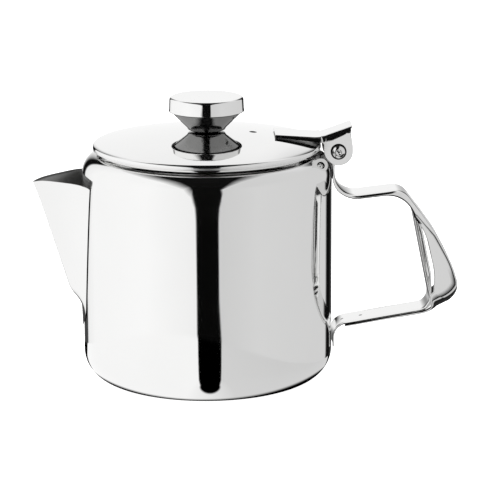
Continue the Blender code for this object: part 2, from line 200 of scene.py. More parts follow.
# Outlines in the XZ plane: (x, z, setback). An arc rounds each corner and cuts `setback` from both its sides
OUTER_FACE = [
    [(48.6, 80.0, 0.0), (48.6, 70.2, 8.9), (74.3, 73.1, 4.0), (81.4, 63.6, 0.0)],
    [(81.4, 63.6, 0.0), (87.0, 55.6, 3.0), (93.3, 43.7, 4.0), (96.8, 32.2, 6.0), (91.7, 28.8, 0.0)],
    [(91.7, 28.8, 0.0), (83.2, 24.7, 3.0), (80.0, 24.2, 0.0)],
    [(80.0, 24.2, 0.0), (66.0, 22.0, 2.0), (52.6, 19.7, 0.0)],
]
OUTER_FREE_EDGE = [
    [(47.85, 80.0, 0.0), (47.85, 68.63, 10.0), (76.6, 71.86, 9.5), (78.55, 62.3, 0.0)],
    [(78.55, 62.3, 0.0), (82.8, 56.3, 4.0), (86.5, 40.5, 4.0), (86.1, 33.0, 0.0)],
    [(86.1, 33.0, 0.0), (84.85, 31.9, 0.4), (85.7, 26.7, 5.0), (80.2, 25.8, 0.0)],
    [(80.2, 25.8, 0.0), (66.0, 23.5, 2.0), (52.6, 21.2, 0.0)],
]
KNUCKLE_LEAD = [              # (x, z) of the grip strap's face from its curl to the wall
    (47.15, 86.3),
    (47.15, 84.6),
    (47.5, 84.0),
    (47.9, 83.4),
    (48.25, 82.8),
    (48.6, 82.2),
]
INNER_FACE = [
    (55.6, 69.5, 0.0),
    (76.6, 71.86, 9.5),
    (79.5, 57.6, 1.0),
    (83.5, 37.6, 3.0),
    (85.7, 26.7, 5.0),
    (48.0, 20.5, 5.2),
    (48.0, 11.6, 0.0),
]
LEAF_TOP = [
    (25.8, 94.8, 0.0),
    (42.9, 93.6, 2.5),
    (45.9, 94.65, 0.6),
    (53.3, 97.25, 0.5),
    (54.1, 97.5, 0.2),
    (54.9, 97.8, 0.0),
]
LEAF_LOWER_EDGE = [
    (25.8, 93.9, 0.0),
    (44.1, 91.4, 0.8),
    (44.1, 82.75, 5.4),
    (55.1, 82.75, 5.4),
    (55.1, 91.2, 2.6),
    (53.9, 94.9, 0.0),
]
SPOUT_NOSE = [
    (-48.1, 20.3, 0.0),
    (-48.4, 30.2, 2.2),
    (-53.0, 34.6, 2.0),
    (-63.7, 69.5, 4.0),
    (-66.1, 75.8, 0.0),
]
SPOUT_SEAM = [                # (half width, z, setback) of the weld line on the wall
    (2.5, 20.3, 0.0),
    (9.0, 24.8, 1.0),
    (10.6, 28.0, 1.0),
    (16.3, 68.0, 4.0),
    (17.8, 76.8, 0.0),
]
WELD_MARKS = [                # (x, y, z, radius) of the spot welds on the lower arm
    (51.5, -0.5, 21.1, 0.75),
    (58.8, -0.5, 22.3, 0.75),
]

# Finishes
HAZE_SCALE = 45.0             # handling marks
HAZE_SHADE = 0.985            # shade of the duller patches relative to the rest
WARMTH = 0.995                # blue relative to red and green
GRAIN = (60.0, 60.0, 900.0)   # polishing lines run round the pot
GRAIN_SCALE = 4.0
GRAIN_STRENGTH = 0.012
# Painted shade: tone and roughness of the steel where the stored shade mask is 1, standing in for shade in
# folds, grooves and under edges
PAINTED_SHADE_TONE = 0.01
PAINTED_SHADE_ROUGHNESS = 0.6
SPOT_TONE = 0.05
SPOT_BLUR = 0.15

# Studio, with the camera and the floor in metres. The tent's greys are (azimuth in degrees, grey), with
# azimuth 0 towards the camera and growing to the right
CAMERA_PLACE = (-0.028, -1.068, 0.311)
CAMERA_AIM = (0.0125, 0.0, 0.0525)
CAMERA_LENS = 215.6
CAMERA_ROLL_DEG = -0.22
FLOOR_HALF_SIZE = 3.0
TENT_STRENGTH = 1.12
TENT_MIDDLE = [
    (-180.0, 0.90),
    (-172.0, 0.90),
    (-166.0, 0.45),
    (-161.0, 0.004),
    (-152.0, 0.004),
    (-149.0, 0.85),
    (-130.0, 0.95),
    (-60.0, 0.98),
    (-12.0, 0.90),
    (0.0, 0.70),
    (12.0, 0.63),
    (45.0, 0.68),
    (139.0, 0.64),
    (143.0, 0.004),
    (160.0, 0.004),
    (166.0, 0.45),
    (172.0, 0.90),
    (180.0, 0.90),
]
TENT_UPPER = [
    (-180.0, 0.88),
    (-150.0, 0.88),
    (-120.0, 0.96),
    (-60.0, 0.96),
    (-20.0, 0.86),
    (20.0, 0.64),
    (60.0, 0.65),
    (120.0, 0.66),
    (150.0, 0.78),
    (180.0, 0.88),
]
TENT_LOWER = [
    (-180.0, 0.04),
    (-158.0, 0.04),
    (-148.0, 0.80),
    (-130.0, 0.95),
    (-25.0, 0.90),
    (-10.0, 0.30),
    (2.0, 0.01),
    (60.0, 0.02),
    (180.0, 0.04),
]
TENT_EDGES = ((26.0, 40.0), (-19.0, -30.0))   # elevations where the upper and the lower greys take over
BACK_FROM = (148.0, 160.0)    # azimuths over which the lower part reaches BACK_RISE degrees higher
BACK_RISE = 12.0
FLAG_OUTLINE = [              # (y, z, left edge, right edge, softness of the left edge, of the right edge)
    (-350.0, -400.0, -66.0, 65.0, 3.0, 3.0),
    (-350.0, -66.0, -66.0, 65.0, 3.0, 3.0),
    (-350.0, -40.0, -66.0, 51.0, 3.0, 3.0),
    (-350.0, 0.0, -68.0, 50.0, 4.0, 3.0),
    (-350.0, 15.0, -85.0, 65.0, 8.0, 3.0),
    (-350.0, 270.0, -120.0, 72.0, 30.0, 8.0),
    (-350.0, 420.0, -178.0, 125.0, 60.0, 20.0),
    (-150.0, 420.0, -175.0, 128.0, 60.0, 30.0),
    (0.0, 420.0, -199.0, 141.0, 60.0, 40.0),
    (250.0, 420.0, -205.0, 150.0, 60.0, 40.0),
]
STAND_CENTRE = (-20.0, -45.0)     # of the light round stand under the pot, seen only in the steel
STAND_R = 100.0
STAND_GREYS = [(0.0, 0.96), (0.55, 0.95), (0.65, 0.66), (1.0, 0.62)]    # (share of the way across, grey)
STAND_SLOT = (-0.5, -58.0, 5.6)   # x, y and radius of the slot's round end
SLOT_FLARE = 0.2              # how fast the slot widens towards the camera
SLOT_STRETCH = 0.5            # below 1 it lengthens the round end
SLOT_BLUR = 0.6
STAND_SHADE = (1.5, 48.4, 42.6)   # shadow under the pot: centre's x, half length and half width
SHADE_BLUR = (0.93, 1.0)      # where the shadow ends, as shares of its size
STAND_WEDGES = [(-1.0, 0.0, 0.60), (1.0, -0.05, 0.90)]    # painted shadow wedges behind the pot: (side, near slope, far slope)
WEDGE_START = (-4.0, 0.0)     # y over which the wedges begin


# ---------------------------------------------------------------- outlines

def corner_arc(before, corner, after, setback):
    """Points of the arc that rounds a corner; setback is the length cut from each side."""
    a = corner + (before - corner).normalized() * setback
    b = corner + (after - corner).normalized() * setback
    half_turn = (corner - a).angle(b - corner) / 2
    weight = math.cos(half_turn)
    points = []
    for i in range(ARC_STEPS + 1):
        t = i / ARC_STEPS
        k0 = (1 - t) ** 2
        k1 = 2 * weight * t * (1 - t)
        k2 = t ** 2
        points.append((a * k0 + corner * k1 + b * k2) / (k0 + k1 + k2))
    return points


def rounded_path(corners):
    """Polyline through the corners, each rounded by an arc of ARC_STEPS steps."""
    places = [Vector(c[:2]) for c in corners]
    path = [places[0]]
    for before, place, after, corner in zip(places, places[1:], places[2:], corners[1:]):
        path += corner_arc(before, place, after, corner[2])
    path.append(places[-1])
    return path


def refined(path, partner=None):
    """The path, and its partner point by point, with no step longer than LONGEST_STEP."""
    partner = partner or path
    fine = [path[0]]
    fine_partner = [partner[0]]
    for a, b, c, d in zip(path, path[1:], partner, partner[1:]):
        count = max(1, math.ceil(max((b - a).length, (d - c).length) / LONGEST_STEP))
        for i in range(1, count + 1):
            fine.append(a.lerp(b, i / count))
            fine_partner.append(c.lerp(d, i / count))
    return fine, fine_partner


def path_normals(path):
    """Unit normals on the right-hand side of a path, for x to the right and z up."""
    normals = []
    for i in range(len(path)):
        ahead = path[min(i + 1, len(path) - 1)]
        behind = path[max(i - 1, 0)]
        along = (ahead - behind).normalized()
        normals.append(Vector((along.y, -along.x)))
    return normals


def offset_path(path, distance):
    """The path moved sideways along its normals."""
    return [p + n * distance for p, n in zip(path, path_normals(path))]


def at_fraction(path, fraction):
    """Point at a fraction of a path's length."""
    lengths = [(b - a).length for a, b in zip(path, path[1:])]
    left = fraction * sum(lengths)
    for a, b, length in zip(path, path[1:], lengths):
        if left <= length:
            return a.lerp(b, left / length)
        left -= length
    return path[-1].copy()


def paired_paths(face_runs, edge_runs):
    """A face and its free edge as two lists of points that pair up, run by run."""
    face = []
    edge = []
    for face_run, edge_run in zip(face_runs, edge_runs):
        path, _ = refined(rounded_path(face_run))
        partner = rounded_path(edge_run)
        total = sum((b - a).length for a, b in zip(path, path[1:]))
        walked = 0.0
        for i, point in enumerate(path):
            if i:
                walked += (point - path[i - 1]).length
            if i or not face:
                face.append(point)
                edge.append(at_fraction(partner, min(walked / total, 1.0)))
    return face, edge


def arc_points(centre, radius, start_deg, end_deg, steps=ARC_STEPS):
    """Points of an arc in a profile, angles measured from the +r direction."""
    points = []
    for i in range(steps + 1):
        turn = math.radians(start_deg + (end_deg - start_deg) * i / steps)
        points.append((centre[0] + radius * math.cos(turn), centre[1] + radius * math.sin(turn)))
    return points


def dome_z(radius):
    """Height of the lid's domed top."""
    return LID_EDGE_Z + LID_RISE * (1 - (radius / LID_SPAN) ** 2)


# ---------------------------------------------------------------- meshes

def make_object(name, bm, material, bevel=0.0):
    """Turn a bmesh in millimetres into a smooth-shaded object with one material."""
    bmesh.ops.recalc_face_normals(bm, faces=bm.faces)
    bmesh.ops.scale(bm, vec=(MM, MM, MM), verts=bm.verts)
    mesh = bpy.data.meshes.new(name)
    bm.to_mesh(mesh)
    bm.free()
    mesh.shade_smooth()
    mesh.set_sharp_from_angle(angle=math.radians(SHARP_DEG))
    mesh.materials.append(material)
    obj = bpy.data.objects.new(name, mesh)
    bpy.context.scene.collection.objects.link(obj)
    if bevel:
        modifier = obj.modifiers.new("rounded_edges", "BEVEL")
        modifier.width = bevel * MM
        modifier.segments = BEVEL_STEPS
        modifier.limit_method = "ANGLE"
        modifier.angle_limit = math.radians(SHARP_DEG)
        modifier.harden_normals = True
    return obj


def lathe(profile, steps, closed):
    """Turn a profile of (radius, z) about Z. A profile that isn't closed starts and ends on the axis."""
    bm = bmesh.new()
    verts = [bm.verts.new((r, 0.0, z)) for r, z in profile]
    edges = [bm.edges.new(pair) for pair in zip(verts, verts[1:])]
    if closed:
        edges.append(bm.edges.new((verts[-1], verts[0])))
    bmesh.ops.spin(
        bm, geom=verts + edges, cent=(0, 0, 0), axis=(0, 0, 1), angle=math.tau, steps=steps, use_merge=True
    )
    bmesh.ops.remove_doubles(bm, verts=bm.verts, dist=0.001)
    return bm


def paint(bm, layer_name, rule):
    """Store rule(place) of every vertex, for a finish to read."""
    layer = bm.verts.layers.float.get(layer_name) or bm.verts.layers.float.new(layer_name)
    for vert in bm.verts:
        vert[layer] = rule(vert.co)


def shell(outer, inner, seams=None):
    """Closed sheet between two matching grids of points; the inner side is marked unpolished."""
    bm = bmesh.new()
    raw = bm.verts.layers.float.new("raw")
    seam = bm.verts.layers.float.new("seam")
    rows = len(outer)
    columns = len(outer[0])
    grids = [[[bm.verts.new(p) for p in row] for row in grid] for grid in (outer, inner)]

    def fill(a, b, c, d):
        bm.faces.new((a, b, c, d))

    for grid in grids:
        for row, next_row in zip(grid, grid[1:]):
            for i in range(columns - 1):
                fill(row[i], row[i + 1], next_row[i + 1], next_row[i])
    top, bottom = grids
    for row in bottom:
        for vert in row:
            vert[raw] = 1.0
    # painted shade on the outer side, one value a vertex
    if seams:
        for row, values in zip(top, seams):
            for vert, value in zip(row, values):
                vert[seam] = value
    for j in (0, rows - 1):
        for i in range(columns - 1):
            fill(top[j][i], top[j][i + 1], bottom[j][i + 1], bottom[j][i])
    for i in (0, columns - 1):
        for j in range(rows - 1):
            fill(top[j][i], top[j + 1][i], bottom[j + 1][i], bottom[j][i])
    return bm


def ramp(value, start, end):
    """0 at `start`, 1 at `end`, straight between them."""
    return min(max((value - start) / (end - start), 0.0), 1.0)


def channel_section(half_width, depth, sheet, web_depth, bend, curl, crease=0.0, corner=0.0, edge_line=0.0):
    """Outer and inner outlines (y, depth) of a channel with rounded edges, and the painted shade along them.

    `bend` rounds the fold between web and flange and `curl` the free edge. `crease` is the depth of the
    pressed line beside the bend, `corner` says how far its painted shadow spreads, and `edge_line` is the
    painted shade along the free edge.
    """
    rise = min(bend, FOLD_SHARE * depth)
    fall = min(curl, FOLD_SHARE * depth)
    room = BOTH_FOLDS_SHARE * depth
    if rise + fall > room:
        rise, fall = (rise, room - rise) if bend > curl else (room - fall, fall)
    inner_rise = min(max(rise - sheet, LEAST_R), max(depth - web_depth - 0.08, 0.005))
    inner_fall = max(fall - sheet, LEAST_R)
    inner_bend = max(bend - sheet, LEAST_R)
    inner_curl = max(curl - sheet, LEAST_R)
    inner_centre = half_width - sheet - inner_bend
    inner_end = web_depth + inner_rise
    inner_start = max(depth - sheet - inner_fall, inner_end + 0.02)
    outer = []
    inner = []
    seam = []
    for i in range(CURL_STEPS):
        turn = math.pi / 2 * i / CURL_STEPS
        across = 1 - math.sin(turn)
        down = math.cos(turn)
        outer.append((-half_width + curl * across, depth - fall + fall * down))
        inner.append((-half_width + sheet + inner_curl * across, inner_start + inner_fall * down))
        seam.append(edge_line)
    flange = depth - fall - rise
    scale = min(1.0, CREASE_SHRINK * flange)
    lift = CREASE_LIFT * scale
    plain = flange - CREASE_STEPS[0][0] * scale - lift
    steps = [(depth - fall - plain * share, 0.0, 0.0) for share in FLANGE_STEPS]
    for place, sunk, dark, corner_dark in CREASE_STEPS:
        shade = dark + (corner_dark - dark) * corner
        steps.append((rise + lift + place * scale, sunk * crease, shade if crease else 0.0))
    for i, (q, sunk, dark) in enumerate(steps):
        outer.append((-half_width + sunk, q))
        inner.append((-half_width + sheet + sunk, inner_start + (inner_end - inner_start) * i / len(steps)))
        seam.append(max(dark, edge_line if depth - fall - q < EDGE_LINE else 0.0))
    for i in range(BEND_STEPS + 1):
        turn = math.pi / 2 * i / BEND_STEPS
        across = math.cos(turn)
        down = 1 - math.sin(turn)
        outer.append((-half_width + bend - bend * across, rise * down))
        inner.append((-inner_centre - inner_bend * across, web_depth + inner_rise * down))
        seam.append(0.0)
    for i in range(1, WEB_STEPS + 1):
        outer.append(((-half_width + bend) * (1 - i / WEB_STEPS), 0.0))
        inner.append((-inner_centre * (1 - i / WEB_STEPS), web_depth))
        seam.append(0.0)
    outer += [(-y, q) for y, q in reversed(outer[:-1])]
    inner += [(-y, q) for y, q in reversed(inner[:-1])]
    seam += list(reversed(seam[:-1]))
    return outer, inner, seam


def hug(x, y):
    """How far a strap bends back to lie against the round wall."""
    return ramp(x, *HUG) * (BODY_R - math.sqrt(BODY_R ** 2 - y ** 2))


def channel(face, free_edge, sheet, forms, hugging=False):
    """Channel pressed from sheet: its web follows `face`, its side flanges end on `free_edge`.

    `forms` holds one dict a row, with what channel_section takes and, where the far flange is shallower than
    the near one, far_trim. `hugging` lays the strap against the pot's wall.
    """
    outer_grid = []
    inner_grid = []
    seams = []
    for place, edge, normal, form in zip(face, free_edge, path_normals(face), forms):
        form = dict(form)
        far_trim = form.pop("far_trim", 0.0)
        depth = (edge - place).length
        down = (edge - place) / depth
        web_depth = sheet / max(abs(down.dot(normal)), 0.5)
        *outlines, seam = channel_section(depth=depth, sheet=sheet, web_depth=web_depth, **form)
        seams.append(seam)
        for grid, outline in zip((outer_grid, inner_grid), outlines):
            row = []
            for y, q in outline:
                trim = far_trim * ramp(q, web_depth, depth) if y > 0 else 0.0
                spot = place + down * (q - trim)
                shift = hug(spot.x, y) if hugging else 0.0
                row.append((spot.x - shift, y, spot.y))
            grid.append(row)
    return shell(outer_grid, inner_grid, seams)


def cut(obj, cutter, use_self=False):
    """Subtract a cutter from a piece and leave nothing of it behind."""
    modifier = obj.modifiers.new("cut", "BOOLEAN")
    modifier.operation = "DIFFERENCE"
    modifier.solver = "EXACT"
    modifier.use_self = use_self
    modifier.object = cutter
    bpy.context.view_layer.update()
    evaluated = obj.evaluated_get(bpy.context.evaluated_depsgraph_get())
    mesh = bpy.data.meshes.new_from_object(evaluated)
    obj.modifiers.clear()
    obj.data = mesh
    bpy.data.objects.remove(cutter)


def rods(rows, radius, length, steps):
    """One cutter made of cylinders, each given by its centre and its axis."""
    bm = bmesh.new()
    for centre, axis in rows:
        turn = Vector(axis).to_track_quat("Z", "Y").to_matrix().to_4x4()
        bmesh.ops.create_cone(
            bm, cap_ends=True, segments=steps, radius1=radius * MM, radius2=radius * MM, depth=length * MM,
            matrix=Matrix.Translation(Vector(centre) * MM) @ turn
        )
    mesh = bpy.data.meshes.new("cutter")
    bm.to_mesh(mesh)
    bm.free()
    obj = bpy.data.objects.new("cutter", mesh)
    bpy.context.scene.collection.objects.link(obj)
    return obj


# ---------------------------------------------------------------- finishes

def node(tree, kind, **settings):
    made = tree.nodes.new(kind)
    for key, value in settings.items():
        setattr(made, key, value)
    return made


def feed(tree, socket, value):
    """Give an input its value: a number, or another node's output."""
    if isinstance(value, (int, float)):
        socket.default_value = value
    else:
        tree.links.new(value, socket)


def calc(tree, operation, a, b=0.0):
    """One math node; a and b are numbers or sockets."""
    made = node(tree, "ShaderNodeMath", operation=operation)
    feed(tree, made.inputs[0], a)
    feed(tree, made.inputs[1], b)
    return made.outputs[0]


def blend_grey(tree, factor, a, b):
    """a where the factor is 0, b where it is 1."""
    made = node(tree, "ShaderNodeMix", data_type="FLOAT")
    feed(tree, made.inputs["Factor"], factor)
    feed(tree, made.inputs[2], a)
    feed(tree, made.inputs[3], b)
    return made.outputs[0]


def noise(tree, place, scale, detail):
    made = node(tree, "ShaderNodeTexNoise")
    made.inputs["Scale"].default_value = scale
    made.inputs["Detail"].default_value = detail
    tree.links.new(place, made.inputs["Vector"])
    return made.outputs["Fac"]


def noise_range(tree, source, low, high):
    """Map the middle of a noise's values to low..high."""
    mapped = node(tree, "ShaderNodeMapRange")
    mapped.inputs["From Min"].default_value = 0.3
    mapped.inputs["From Max"].default_value = 0.7
    mapped.inputs["To Min"].default_value = low
    mapped.inputs["To Max"].default_value = high
    tree.links.new(source, mapped.inputs["Value"])
    return mapped.outputs["Result"]


def step_up(tree, value, low, high):
    """0 below low, 1 above high, smooth between them."""
    made = node(tree, "ShaderNodeMapRange", interpolation_type="SMOOTHSTEP")
    tree.links.new(value, made.inputs["Value"])
    made.inputs["From Min"].default_value = low
    made.inputs["From Max"].default_value = high
    return made.outputs["Result"]


def stored(tree, layer_name):
    """What paint() or shell() stored under a name."""
    made = node(tree, "ShaderNodeAttribute", attribute_type="GEOMETRY", attribute_name=layer_name)
    return made.outputs["Fac"]


def steel(name, shade=0.86, roughness=(0.03, 0.06), raw=(0.35, 0.6), spots=()):
    """Stainless steel: faint handling haze, fine polishing lines, painted shade where a mesh marks it, and
    unpolished hidden sides.

    `roughness` is its range over the haze. `raw` is the roughness of the unpolished side and its shade
    relative to the polished one, which paints shade inside a hollow where it is low. `spots` are balls,
    (x, y, z, radius), that darken the surface inside them.
    """
    material = bpy.data.materials.new(name)
    material.use_nodes = True
    tree = material.node_tree
    shader = tree.nodes["Principled BSDF"]
    shader.inputs["Metallic"].default_value = 1.0
    place = node(tree, "ShaderNodeTexCoord").outputs["Object"]
    haze = noise(tree, place, HAZE_SCALE, 3.0)
    raw_side = stored(tree, "raw")
    # painted shade: a stored mask that darkens the steel where shade falls
    seam = stored(tree, "seam")
    polished = noise_range(tree, haze, shade * HAZE_SHADE, shade)
    tone = calc(tree, "MULTIPLY", polished, blend_grey(tree, raw_side, 1.0, raw[1]))
    tone = calc(tree, "MULTIPLY", tone, blend_grey(tree, seam, 1.0, PAINTED_SHADE_TONE))
    for spot in spots:
        apart = node(tree, "ShaderNodeVectorMath", operation="DISTANCE")
        tree.links.new(place, apart.inputs[0])
        apart.inputs[1].default_value = Vector(spot[:3]) * MM
        clear = step_up(tree, apart.outputs["Value"], (spot[3] - SPOT_BLUR) * MM, spot[3] * MM)
        tone = calc(tree, "MULTIPLY", tone, blend_grey(tree, clear, SPOT_TONE, 1.0))
    colour = node(tree, "ShaderNodeCombineColor")
    tree.links.new(tone, colour.inputs["Red"])
    tree.links.new(tone, colour.inputs["Green"])
    tree.links.new(calc(tree, "MULTIPLY", tone, WARMTH), colour.inputs["Blue"])
    tree.links.new(colour.outputs["Color"], shader.inputs["Base Color"])
    gloss = noise_range(tree, haze, *roughness)
    gloss = blend_grey(tree, raw_side, gloss, raw[0])
    tree.links.new(blend_grey(tree, seam, gloss, PAINTED_SHADE_ROUGHNESS), shader.inputs["Roughness"])
    mapping = node(tree, "ShaderNodeMapping")
    mapping.inputs["Scale"].default_value = GRAIN
    tree.links.new(place, mapping.inputs["Vector"])
    lines = noise(tree, mapping.outputs["Vector"], GRAIN_SCALE, 2.0)
    bump = node(tree, "ShaderNodeBump")
    bump.inputs["Strength"].default_value = GRAIN_STRENGTH
    bump.inputs["Distance"].default_value = 0.0002
    tree.links.new(lines, bump.inputs["Height"])
    tree.links.new(bump.outputs["Normal"], shader.inputs["Normal"])
    return material


# ---------------------------------------------------------------- pieces on the pot

def make_pot_shell():
    """Vessel turned from one sheet, with its rolled bead, and pierced behind the spout."""
    floor_r = BODY_R - FOOT_R
    shoulder_r = BODY_R - SHOULDER_R
    inner_shoulder = SHOULDER_R - BODY_WALL
    neck_turn = math.degrees(math.acos((NECK_R + NECK_FILLET - shoulder_r) / SHOULDER_R))
    inner_turn = math.degrees(math.acos((NECK_R - BODY_WALL + NECK_FILLET - shoulder_r) / inner_shoulder))
    bead = (NECK_R - BEAD_R / 2, NECK_TOP - BEAD_R)
    neck_z = bead[1] - 1.5 * BEAD_R
    outside = [(floor_r * i / FLOOR_RINGS, 0.0) for i in range(FLOOR_RINGS)]
    outside += arc_points((floor_r, FOOT_R), FOOT_R, -90, 0, 24)
    outside += [(BODY_R, FOOT_R + (SHOULDER_Z - FOOT_R) * i / WALL_ROWS) for i in range(1, WALL_ROWS)]
    outside += arc_points((shoulder_r, SHOULDER_Z), SHOULDER_R, 0, neck_turn, 24)
    outside.append((NECK_R, neck_z))
    rim = arc_points(bead, BEAD_R, -30, 200, 16)
    inside = [(NECK_R - BODY_WALL, neck_z)]
    inside += arc_points((shoulder_r, SHOULDER_Z), inner_shoulder, inner_turn, 0, 16)
    inner_r = BODY_R - BODY_WALL
    inside += [(inner_r, SHOULDER_Z + (FOOT_R - SHOULDER_Z) * i / WALL_ROWS) for i in range(1, WALL_ROWS)]
    inside += arc_points((floor_r, FOOT_R), FOOT_R - BODY_WALL, 0, -90, 16)
    inside.append((0.0, BODY_WALL))
    bm = lathe(outside + rim + inside, TURN_STEPS, closed=False)
    body = make_object("pot_shell", bm, steel("vessel_steel"))
    holes = []
    for row in range(STRAINER_ROWS):
        count = 3 + row % 2
        for i in range(count):
            turn = math.radians(180 + (i - (count - 1) / 2) * STRAINER_STEP_DEG)
            outward = (math.cos(turn), math.sin(turn), 0.0)
            z = STRAINER_LOW_Z + row * STRAINER_PITCH
            holes.append(((BODY_R * outward[0], BODY_R * outward[1], z), outward))
    cut(body, rods(holes, STRAINER_HOLE_R, 6.0, 32))
    return body


def spout_rows(inward):
    """Rows of points up the spout, from one weld line on the wall round the nose to the other."""
    nose = rounded_path(SPOUT_NOSE)
    seam = rounded_path(SPOUT_SEAM)
    grid = []
    for j in range(SPOUT_ROWS + 1):
        share = j / SPOUT_ROWS
        tip = at_fraction(nose, share)
        root = at_fraction(seam, share)
        root_x = -math.sqrt((BODY_R + GAP) ** 2 - root.x ** 2)
        apex = Vector((tip.x - SPOUT_NOSE_OUT * share, 0.0))
        seat = Vector((root_x, root.x))
        side = apex - seat
        outwards = Vector((side.y, -side.x)).normalized()
        flare = seat + side * SPOUT_FLARE_PLACE + outwards * SPOUT_FLARE_OUT * share
        setback = min(SPOUT_NOSE_CUT, side.length * 0.4)
        corners = [
            (seat.x, seat.y, 0.0),
            (flare.x, flare.y, side.length * SPOUT_FLARE_CUT),
            (apex.x, apex.y, setback),
            (flare.x, -flare.y, side.length * SPOUT_FLARE_CUT),
            (seat.x, -seat.y, 0.0),
        ]
        plan = rounded_path(corners)
        first, last = plan[ARC_STEPS + 1], plan[ARC_STEPS + 2]
        between = [first.lerp(last, i / SPOUT_SIDE_STEPS) for i in range(1, SPOUT_SIDE_STEPS)]
        mirrored = [Vector((p.x, -p.y)) for p in reversed(between)]
        middle = ARC_STEPS + 2
        far = 2 * ARC_STEPS + 3
        plan = plan[:middle] + between + plan[middle:far] + mirrored + plan[far:]
        row = []
        for point, moved in zip(plan, offset_path(plan, inward)):
            along = min(max((point.x - apex.x) / (seat.x - apex.x), 0.0), 1.0)
            z = tip.y + (root.y - tip.y) * along
            z += SPOUT_RIM_RISE * share ** 6 * (1 - (2 * along - 1) ** 4)
            push = max((BODY_R + GAP) / moved.length, 1.0)
            row.append((moved.x * push, moved.y * push, z))
        grid.append(row)
    return grid


def make_spout_shell():
    """Open V-shaped spout with painted shade along its nose's fold and along its lip."""
    outer = spout_rows(0.0)
    columns = len(outer[0])
    # painted shade along the nose's fold and, below, along the lip's edge
    nose = [NOSE_LINE if abs(i - columns // 2) <= 1 else 0.0 for i in range(columns)]
    bm = shell(outer, spout_rows(-SPOUT_SHEET), [nose] * len(outer))
    bm.verts.ensure_lookup_table()
    seam = bm.verts.layers.float["seam"]
    for vert in bm.verts[-columns:]:
        vert[seam] = LIP_LINE
    # the spout's inside is rough, and it is painted much darker than the outside as shade
    return make_object("spout_shell", bm, steel("spout_steel", raw=(0.3, 0.36)), bevel=0.15)


def make_grip_strap():
    """Grip strap: from its curl round the rivet down the wall, out, down the grip, back under the arm."""
    pin = Vector((PIN_X, PIN_Z))
    face = [Vector(p) for p in arc_points(pin, PIN_BORE_R, KNUCKLE_START_DEG, 180, 40)]
    free_edge = [p + (p - pin).normalized() * STRAP_FLAT_DEPTH for p in face]
    for x, z in KNUCKLE_LEAD:
        face.append(Vector((x, z)))
        free_edge.append(Vector((x - STRAP_FLAT_DEPTH, z)))
    strap_face, strap_edge = paired_paths(OUTER_FACE, OUTER_FREE_EDGE)
    face += strap_face
    free_edge += strap_edge
    spare_width = STRAP_HALF_WIDTH - KNUCKLE_HALF_WIDTH
    forms = []
    for place, edge, inward in zip(face, free_edge, path_normals(face)):
        depth = (edge - place).length
        shallow = ramp(depth, *GRIP_DEPTHS)
        facing_up = max(-inward.y, 0.0)
        facing_down = max(inward.y, 0.0)
        belly = max(facing_up * shallow, facing_down * (1 - shallow))
        forms.append({
            "half_width": KNUCKLE_HALF_WIDTH + spare_width * ramp(place.y, *WIDENING),
            "bend": STRAP_EDGE_R + (STRAP_BELLY_R - STRAP_EDGE_R) * belly,
            "curl": STRAP_CURL_R + (STRAP_UNDER_R - STRAP_CURL_R) * facing_down * shallow,
            # crease sets the pressed line's depth; crease, corner and edge_line also set the painted shade
            # along it and along the free edge
            "crease": CREASE_DEPTH * ramp(depth, *CREASE_FROM),
            "corner": ramp(place.y, *GRIP_CORNER) * (1 - shallow),
            "edge_line": ramp(depth, *EDGE_LINE_DEPTHS) * float(place.y > UPPER_ARM_Z),
            "far_trim": FAR_EDGE_TRIM * ramp(place.y, *TRIM_LOW) * ramp(place.y, *TRIM_HIGH),
        })
    bm = channel(face, free_edge, STRAP_SHEET, forms, hugging=True)
    return make_object("grip_strap", bm, steel("handle_steel"), bevel=0.1)


def make_arm_strap():
    """Arm strap: from under the upper arm down inside the grip, along the lower arm and down the wall."""
    face, _ = refined(rounded_path(INNER_FACE))
    free_edge = []
    for place, normal in zip(face, path_normals(face)):
        in_grip = ramp(place.y, *INNER_GRIP_LOW) * ramp(place.y, *INNER_GRIP_HIGH)
        free_edge.append(place - normal * (STRAP_FLAT_DEPTH + INNER_GRIP_RISE * in_grip))
    forms = [{"half_width": INNER_HALF_WIDTH, "bend": INNER_EDGE_R, "curl": INNER_CURL_R}] * len(face)
    bm = channel(face, free_edge, STRAP_SHEET, forms, hugging=True)
    return make_object("arm_strap", bm, steel("arm_steel", spots=WELD_MARKS), bevel=0.12)


# ---------------------------------------------------------------- pieces on the lid

def make_lid_dome():
    """Domed lid with its edge turned down, the vent and the hole for the knob's screw."""
    dome_r = LID_R - 1.6 * LID_EDGE_R
    radii = [SCREW_HOLE_R + (dome_r - SCREW_HOLE_R) * i / LID_RINGS for i in range(LID_RINGS + 1)]
    profile = [(r, dome_z(r)) for r in radii]
    edge_z = dome_z(dome_r)
    profile += arc_points((LID_R - LID_EDGE_R, edge_z - 1.15 * LID_EDGE_R), LID_EDGE_R, 60, 0, 10)
    profile += [(LID_R, LID_SKIRT_Z + 0.2), (LID_R - 0.2, LID_SKIRT_Z), (LID_R - LID_SHEET, LID_SKIRT_Z)]
    profile += [(LID_R - LID_SHEET, edge_z - 1.2), (LID_R - 1.2, edge_z - 0.8)]
    profile += [(r, dome_z(r) - LID_SHEET) for r in reversed(radii)]
    bm = lathe(profile, TURN_STEPS, closed=True)
    paint(bm, "raw", lambda p: float(p.z < SKIRT_RAW_Z))
    vent = (VENT_X, 0.0, dome_z(VENT_X), VENT_R + VENT_SHADOW)
    lid = make_object("lid_dome", bm, steel("lid_steel", raw=(0.3, 0.96), spots=[vent]))
    cut(lid, rods([((VENT_X, 0.0, dome_z(VENT_X)), (0, 0, 1))], VENT_R, 8.0, 48))
    return lid


